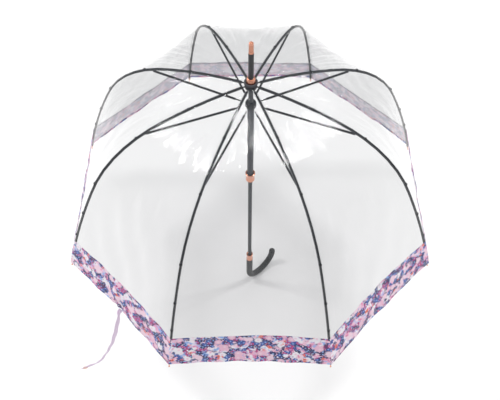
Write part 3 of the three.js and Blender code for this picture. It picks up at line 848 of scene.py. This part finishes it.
class UMBRELLA_OT_strap(UmbrellaOperator):
    """Makes the tie strap, gathered into the hem, and its snap"""
    bl_idname = "umbrella.strap"
    bl_label = "Tie strap"

    def execute(self, context):
        hem = context.scene.umbrella_hem
        carrier = STRAP_GORE + 1
        _, sideways = rib_frame(carrier)
        out, aside = gore_frame(STRAP_GORE)
        sewn_above = 0.006
        foot = sheet_shape(STRAP_GORE, 1, np.array(HEM_FOOT - hem.bow - sewn_above), np.array(1.0), HEM_LIFT,
                           context.scene.umbrella_canopy.sag, 0.0)
        # out, down and sideways of the strap's line from where it is sewn on, in millimetres
        drops = np.array([
            (0, 0, 9), (9, 15, 11), (24, 42, 15.6), (42.7, 82, 17), (58, 113, 14), (74, 147, 6),
            (91, 184, -6.4), (104.6, 196, -17), (117, 206, -25.6), (128, 215, -33.4)]) / 1000
        lie = np.array([-0.2, 0.35, -0.92])
        samples = 90
        spots = np.linspace(0, len(drops) - 1, samples)
        smooth = np.stack([smooth_through(drops[:, i], spots) for i in range(3)], -1)
        centres = foot + smooth[:, :1] * out - smooth[:, 1:2] * (0, 0, 1) + smooth[:, 2:] * aside
        tangents = unit(np.gradient(centres, axis=0))
        walked = np.concatenate([[0], np.cumsum(np.linalg.norm(np.diff(centres, axis=0), axis=1))])
        turn = np.clip(walked / 0.014, 0, 1)[:, None]
        wide = sideways * (1 - turn) + turn * lie
        twist = (0.2 + 0.1 * np.sin(walked / walked[-1] * 7.5))[:, None]
        wide = wide + twist * sideways
        wide = unit(wide - (wide * tangents).sum(1)[:, None] * tangents)
        thick = np.cross(tangents, wide)
        gathered = 0.03
        half = STRAP_WIDTH / 2 * (0.42 + 0.58 * np.clip(walked / gathered, 0, 1) ** 0.7)
        section = self.section()
        wave = 0.0011 * np.exp(-walked / gathered)[:, None] * np.cos(section[None, :, 0] * 9)
        wave = wave + 0.0006 * np.sin(walked[:, None] * 160 + section[None, :, 0] * 1.5)
        up = section[None, :, 1] * STRAP_THICK + wave
        rings = centres[:, None] + (section[None, :, 0] * half[:, None])[..., None] * wide[:, None]
        rings = rings + up[..., None] * thick[:, None]
        strap = closed_piece("tie_strap_cloth", rings, self.strap_cloth(hem))
        places = np.array([v.co for v in strap.data.vertices])
        nearest = np.argmin(((places[:, None] - centres[None]) ** 2).sum(-1), axis=1)
        side = ((places - centres[nearest]) * wide[nearest]).sum(1)
        corner = [loop.vertex_index for loop in strap.data.loops]
        for chart, u, v in (("cut", 9 + walked[nearest], side), ("seam", side, np.full(len(side), 0.5))):
            layer = strap.data.uv_layers.new(name=chart)
            layer.uv.foreach_set("vector", np.stack([u, v], -1)[corner].astype(np.float32).ravel())
        body = f"rib_lower_{carrier}"
        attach(strap, body)
        gather_to_rib(strap, carrier, 1, HEM_TOP + HEM_WIDTH / 2)
        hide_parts("tie_strap")
        self.snap(context, centres, wide, thick, walked, body, carrier)
        return {"FINISHED"}

    @staticmethod
    def section():
        """The strap's section with bevelled edges, as shares of its half width and its thickness."""
        corners = [(-1, -0.4), (-0.9, -0.55), (0.9, -0.55), (1, -0.4)]
        corners += [(-across, -up) for across, up in corners]
        spots = []
        for start, end in zip(corners, corners[1:] + corners[:1]):
            steps = 10 if abs(end[0] - start[0]) > 1 else 1
            spots += [[a + (b - a) * i / steps for a, b in zip(start, end)] for i in range(steps)]
        return np.array(spots)

    @staticmethod
    def strap_cloth(hem):
        return bpy.data.materials.get("hem_cloth") or hem_cloth(hem)

    @staticmethod
    def snap(context, centres, wide, thick, walked, body, carrier):
        """Both halves of the press stud near the strap's free end."""
        from_end = 0.012
        at = int(np.searchsorted(walked, walked[-1] - from_end))
        outline = [
            (0, -2.4), (4.6, -2.4), (5.4, -1.8), (5.4, -0.9), (2.0, -0.8), (2.0, 0.8), (5.6, 0.9), (5.6, 1.5),
            (4.4, 2.3), (2.6, 2.4), (2.2, 1.7), (0, 1.6)]
        along = np.cross(wide[at], thick[at])
        rings = turned_rings(outline, centres[at], thick[at], wide[at], along, 48, 0.3)
        stud = closed_piece("strap_press_stud", rings, bpy.data.materials["rose_metal"])
        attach(stud, body)
        gather_to_rib(stud, carrier, 1, HEM_TOP + HEM_WIDTH / 2)
        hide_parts("strap_snap")


def smooth_through(values, spots):
    """Catmull-Rom curve through evenly spaced values."""
    padded = np.concatenate([[2 * values[0] - values[1]], values, [2 * values[-1] - values[-2]]])
    i = np.minimum(spots.astype(int), len(values) - 2)
    t = spots - i
    a, b, c, d = padded[i], padded[i + 1], padded[i + 2], padded[i + 3]
    square, cube = 2 * a - 5 * b + 4 * c - d, 3 * b - a - 3 * c + d
    return 0.5 * (2 * b + (c - a) * t + square * t ** 2 + cube * t ** 3)


def heights(node):
    """Lowest and highest point of a frame part, in millimetres above the crown pivots."""
    return [1000 * (corner.z - CROWN_Z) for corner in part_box(node)]


class UMBRELLA_OT_trims(UmbrellaOperator):
    """Makes the turned metal trims, the ferrule, the rosette and the rib tips"""
    bl_idname = "umbrella.trims"
    bl_label = "Turned trims"

    def execute(self, context):
        trim = context.scene.umbrella_trim
        rose = rose_metal(tuple(trim.rose))
        steel = bpy.data.materials["black_steel"]
        plastic = bpy.data.materials["black_plastic"]
        foot, top = heights("runner_collar")
        grip_foot, grip_top = heights("handle_collar")
        turned = (
            ("crown_cap", "shaft", rose, "rose_metal", [
                (5.3, 6.3), (9.4, 6.3), (9.4, 8.4), (9.05, 8.8), (9.05, 9.3), (9.4, 9.7), (9.35, 12.6),
                (8.8, 16.2), (7.7, 18.6), (6.2, 19.6), (5.3, 19.2), (5.3, 6.3)]),
            ("crown_rosette", "shaft", plastic, "black_plastic", [
                (5.3, 4.3), (13.4, 4.3), (13.4, 9), (12.6, 10), (10.3, 9.6), (9.9, 6), (5.3, 6), (5.3, 4.3)]),
            ("ferrule_rod", "shaft", steel, "black_steel", [
                (0, 0), (3.9, 0), (3.9, 20.3), (5.35, 20.3), (5.35, 81.6), (5.1, 82), (5.1, 83), (0, 83)]),
            ("ferrule_tip", "shaft", rose, "rose_metal", [
                (0, 83.3), (5.2, 83.3), (5.2, 85.3), (4.75, 86), (4.75, 105), (4.3, 107.1), (3.4, 108),
                (2.6, 107.6), (0, 107.4)]),
            ("runner_collar", "runner", rose, "rose_metal", [
                (5.3, top - 6), (8.4, top - 5.2), (8.9, top - 0.6), (9.6, top), (11.2, top - 0.6),
                (11.5, top - 1.8), (11.5, top - 4.3), (9.7, top - 7), (8.9, top - 12), (9.2, top - 16.5),
                (10.5, foot + 6.5), (10.5, foot + 2), (9.3, foot), (5.9, foot), (5.3, top - 6)]),
            ("handle_collar", "shaft", rose, "rose_metal", [
                (5.3, grip_top - 3.2), (7.2, grip_top - 2.8), (7.5, grip_top), (8.2, grip_top),
                (9, grip_top - 1.2), (9, grip_top - 4), (8.1, grip_top - 5.4), (8.1, grip_foot + 5.4),
                (9, grip_foot + 4), (9, grip_foot + 1.4), (8.8, grip_foot), (5.3, grip_foot),
                (5.3, grip_top - 3.2)]),
        )
        for node, body, material, slot, outline in turned:
            piece = turned_piece(f"{node}_turned", outline, material, trim.sides)
            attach(piece, body)
            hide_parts(node)
        for rib in range(1, RIBS + 1):
            self.rib_tip(rib, rose)
        return {"FINISHED"}

    @staticmethod
    def rib_tip(rib, material):
        """A plug on the rib's end with a slim pin and a small bead."""
        outline = [
            (0, 0), (2.2, 0), (2.2, 4.6), (1.75, 5.6), (1.2, 6.4), (1.2, 12.2), (1.75, 13.4), (1.75, 15),
            (1.1, 16), (0, 16)]
        tip_length = 0.016
        base = on_rib(rib, RIB_LENGTH - tip_length, 0.0)
        down = along_rib(rib, RIB_LENGTH)
        _, sideways = rib_frame(rib)
        rings = turned_rings(outline, base, down, sideways, np.cross(down, sideways), 32, 0.4)
        tip = closed_piece(f"rib_tip_pin_{rib}", rings, material)
        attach(tip, f"rib_lower_{rib}")
        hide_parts(f"rib_tip_{rib}")


class UMBRELLA_OT_thread_ties(UmbrellaOperator):
    """Ties the clear sheet to each rib with a few turns of thread"""
    bl_idname = "umbrella.thread_ties"
    bl_label = "Thread ties"

    def execute(self, context):
        material = sewing_thread()
        spots = {"upper": (0.12, 0.235), "lower": (0.375, 0.47, 0.545)}
        for rib in range(1, RIBS + 1):
            for part, places in spots.items():
                for number, down in enumerate(places, 1):
                    piece = closed_piece(f"thread_tie_{part}_{rib}_{number}", self.tie(rib, down), material)
                    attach(piece, f"rib_{part}_{rib}")
        return {"FINISHED"}

    @staticmethod
    def tie(rib, down):
        """Rings of four turns of thread around the rib and the sheet's seam."""
        half_width, half_height = 0.0027, 0.0032
        thread_radius = 0.00036
        pitch = 0.0007
        turns = 4
        _, sideways = rib_frame(rib)
        along = along_rib(rib, down)
        up = np.cross(sideways, along)
        up *= np.sign(up[2])
        turned = np.linspace(0, turns * TAU, turns * 18)
        square = np.maximum(np.abs(np.cos(turned)), np.abs(np.sin(turned))) ** 0.35
        path = on_rib(rib, down, 0.0009) + ((turned / TAU - turns / 2) * pitch)[:, None] * along
        path = path + (half_width / square * np.cos(turned))[:, None] * sideways
        path = path + (half_height / square * np.sin(turned))[:, None] * up
        return swept(path, along, thread_radius, 6)


class UMBRELLA_OT_crook(UmbrellaOperator):
    """Makes the covered crook handle with its sewn inner seam and rounded end"""
    bl_idname = "umbrella.crook"
    bl_label = "Crook handle"

    def execute(self, context):
        low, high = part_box("handle_crook")
        grip_radius = 0.00875
        bend_radius = 0.0475
        end_radius = 0.0045
        past_bend = 0.008
        straight = high.z - low.z - bend_radius - grip_radius
        bend_length = math.pi * bend_radius
        out, across = directions(math.pi / 4)
        walked = np.linspace(0, straight + bend_length + past_bend - end_radius, 150)
        angle = np.clip((walked - straight) / bend_radius, 0, math.pi)
        rise = np.clip(walked - straight - bend_length, 0, None)
        bottom = high.z - np.minimum(walked, straight)
        centres = (bend_radius * (1 - np.cos(angle)))[:, None] * out
        centres[:, 2] = bottom - bend_radius * np.sin(angle) + rise
        dome = np.linspace(0, math.pi / 2, 9)[1:]
        centres = np.concatenate([centres, centres[-1] + np.outer(end_radius * np.sin(dome), (0, 0, 1))])
        closing = end_radius + (grip_radius - end_radius) * np.cos(dome)
        radii = np.concatenate([np.full(len(walked), grip_radius), closing])
        radii[:3] -= (0.0006, 0.0002, 0.00005)
        sides = 72
        rings = self.with_seam(swept(centres, across, radii, sides), centres, sides)
        crook = closed_piece("crook_cover", rings, grip_cover(tuple(context.scene.umbrella_trim.grip)),
                             math.radians(60))
        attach(crook, "shaft")
        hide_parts("handle_crook")
        return {"FINISHED"}

    @staticmethod
    def with_seam(rings, centres, sides):
        """Draws the cover in along its seam on the inside of the bend."""
        inside = math.pi / 2
        angles = np.arange(sides) / sides * TAU
        away = np.abs((angles - inside + math.pi) % TAU - math.pi)
        dip = -0.0005 * np.exp(-(away / 0.05) ** 2) + 0.0002 * np.exp(-((away - 0.13) / 0.05) ** 2)
        spokes = rings - centres[:, None]
        size = np.linalg.norm(spokes, axis=2)[..., None]
        return centres[:, None] + spokes * (1 + dip[None, :, None] / np.maximum(size, 1e-4))


class UMBRELLA_OT_stage(UmbrellaOperator):
    """Sets the floor, the soft lamps and the camera"""
    bl_idname = "umbrella.stage"
    bl_label = "Stage"

    def execute(self, context):
        settings = context.scene.umbrella_stage
        half = 30
        mesh = bpy.data.meshes.new("floor")
        corners = [(-half, -half, 0), (half, -half, 0), (half, half, 0), (-half, half, 0)]
        mesh.from_pydata(corners, [], [(0, 1, 2, 3)])
        floor = new_object("floor", mesh, floor_paint(tuple(settings.floor)))
        floor.location.z = CAD_BOX[0][2] - 0.001
        world = bpy.data.worlds.new("even_light")
        world.use_nodes = True
        tree = world.node_tree
        background = tree.nodes["Background"]
        background.inputs["Strength"].default_value = settings.sky
        direction = tree.nodes.new("ShaderNodeTexCoord")
        height = tree.nodes.new("ShaderNodeSeparateXYZ")
        fade = tree.nodes.new("ShaderNodeValToRGB")
        Finish.stops(fade.color_ramp, [(0.1, (settings.side,) * 3), (0.55, (1, 1, 1))])
        tree.links.new(direction.outputs["Generated"], height.inputs[0])
        tree.links.new(height.outputs["Z"], fade.inputs[0])
        tree.links.new(fade.outputs["Color"], background.inputs["Color"])
        context.scene.world = world
        aim = Vector((0, 0, CROWN_Z - 0.15))
        for name, place in (("lamp_left", (-1.36, 0.30, 2.6)), ("lamp_right", (1.15, 0.48, 2.67))):
            lamp = bpy.data.lights.new(name, "AREA")
            lamp.shape = "RECTANGLE"
            lamp.size, lamp.size_y, lamp.energy = 0.32, 0.7, 25
            holder = bpy.data.objects.new(name, lamp)
            context.scene.collection.objects.link(holder)
            holder.location = place
            holder.rotation_euler = (Vector(place) - aim).to_track_quat("Z", "Y").to_euler()
        camera = bpy.data.cameras.new("camera")
        camera.lens = settings.lens
        camera.sensor_fit = "HORIZONTAL"
        holder = bpy.data.objects.new("camera", camera)
        context.scene.collection.objects.link(holder)
        yaw, roll, sway = -0.006, 0.0077, -0.0053
        turn = Matrix.Rotation(yaw, 4, "Z") @ Matrix.Rotation(math.pi / 2 - settings.tilt, 4, "X")
        place = Matrix.Translation((sway, -settings.back, CROWN_Z + settings.rise))
        holder.matrix_world = place @ turn @ Matrix.Rotation(roll, 4, "Z")
        context.scene.camera = holder
        context.scene.view_settings.view_transform = "Standard"
        return {"FINISHED"}


class UMBRELLA_PT_panel(bpy.types.Panel):
    """The umbrella's operators"""
    bl_idname = "UMBRELLA_PT_panel"
    bl_label = "Clear bubble umbrella"
    bl_space_type = "VIEW_3D"
    bl_region_type = "UI"
    bl_category = "Umbrella"

    def draw(self, context):
        for operator in OPERATORS:
            self.layout.operator(operator.bl_idname)


SETTINGS = {
    "umbrella_canopy": UmbrellaCanopySettings,
    "umbrella_hem": UmbrellaHemSettings,
    "umbrella_trim": UmbrellaTrimSettings,
    "umbrella_stage": UmbrellaStageSettings,
}
OPERATORS = (
    UMBRELLA_OT_stage, UMBRELLA_OT_frame_finishes, UMBRELLA_OT_trims, UMBRELLA_OT_canopy, UMBRELLA_OT_hem,
    UMBRELLA_OT_strap, UMBRELLA_OT_thread_ties, UMBRELLA_OT_crook,
)


def register():
    for group in SETTINGS.values():
        bpy.utils.register_class(group)
    for name, group in SETTINGS.items():
        setattr(bpy.types.Scene, name, PointerProperty(type=group))
    for operator in OPERATORS:
        bpy.utils.register_class(operator)
    bpy.utils.register_class(UMBRELLA_PT_panel)


def unregister():
    bpy.utils.unregister_class(UMBRELLA_PT_panel)
    for operator in reversed(OPERATORS):
        bpy.utils.unregister_class(operator)
    for name, group in SETTINGS.items():
        delattr(bpy.types.Scene, name)
        bpy.utils.unregister_class(group)


def main():
    register()
    for operator in OPERATORS:
        family, action = operator.bl_idname.split(".")
        getattr(getattr(bpy.ops, family), action)()


if __name__ == "__main__":
    main()
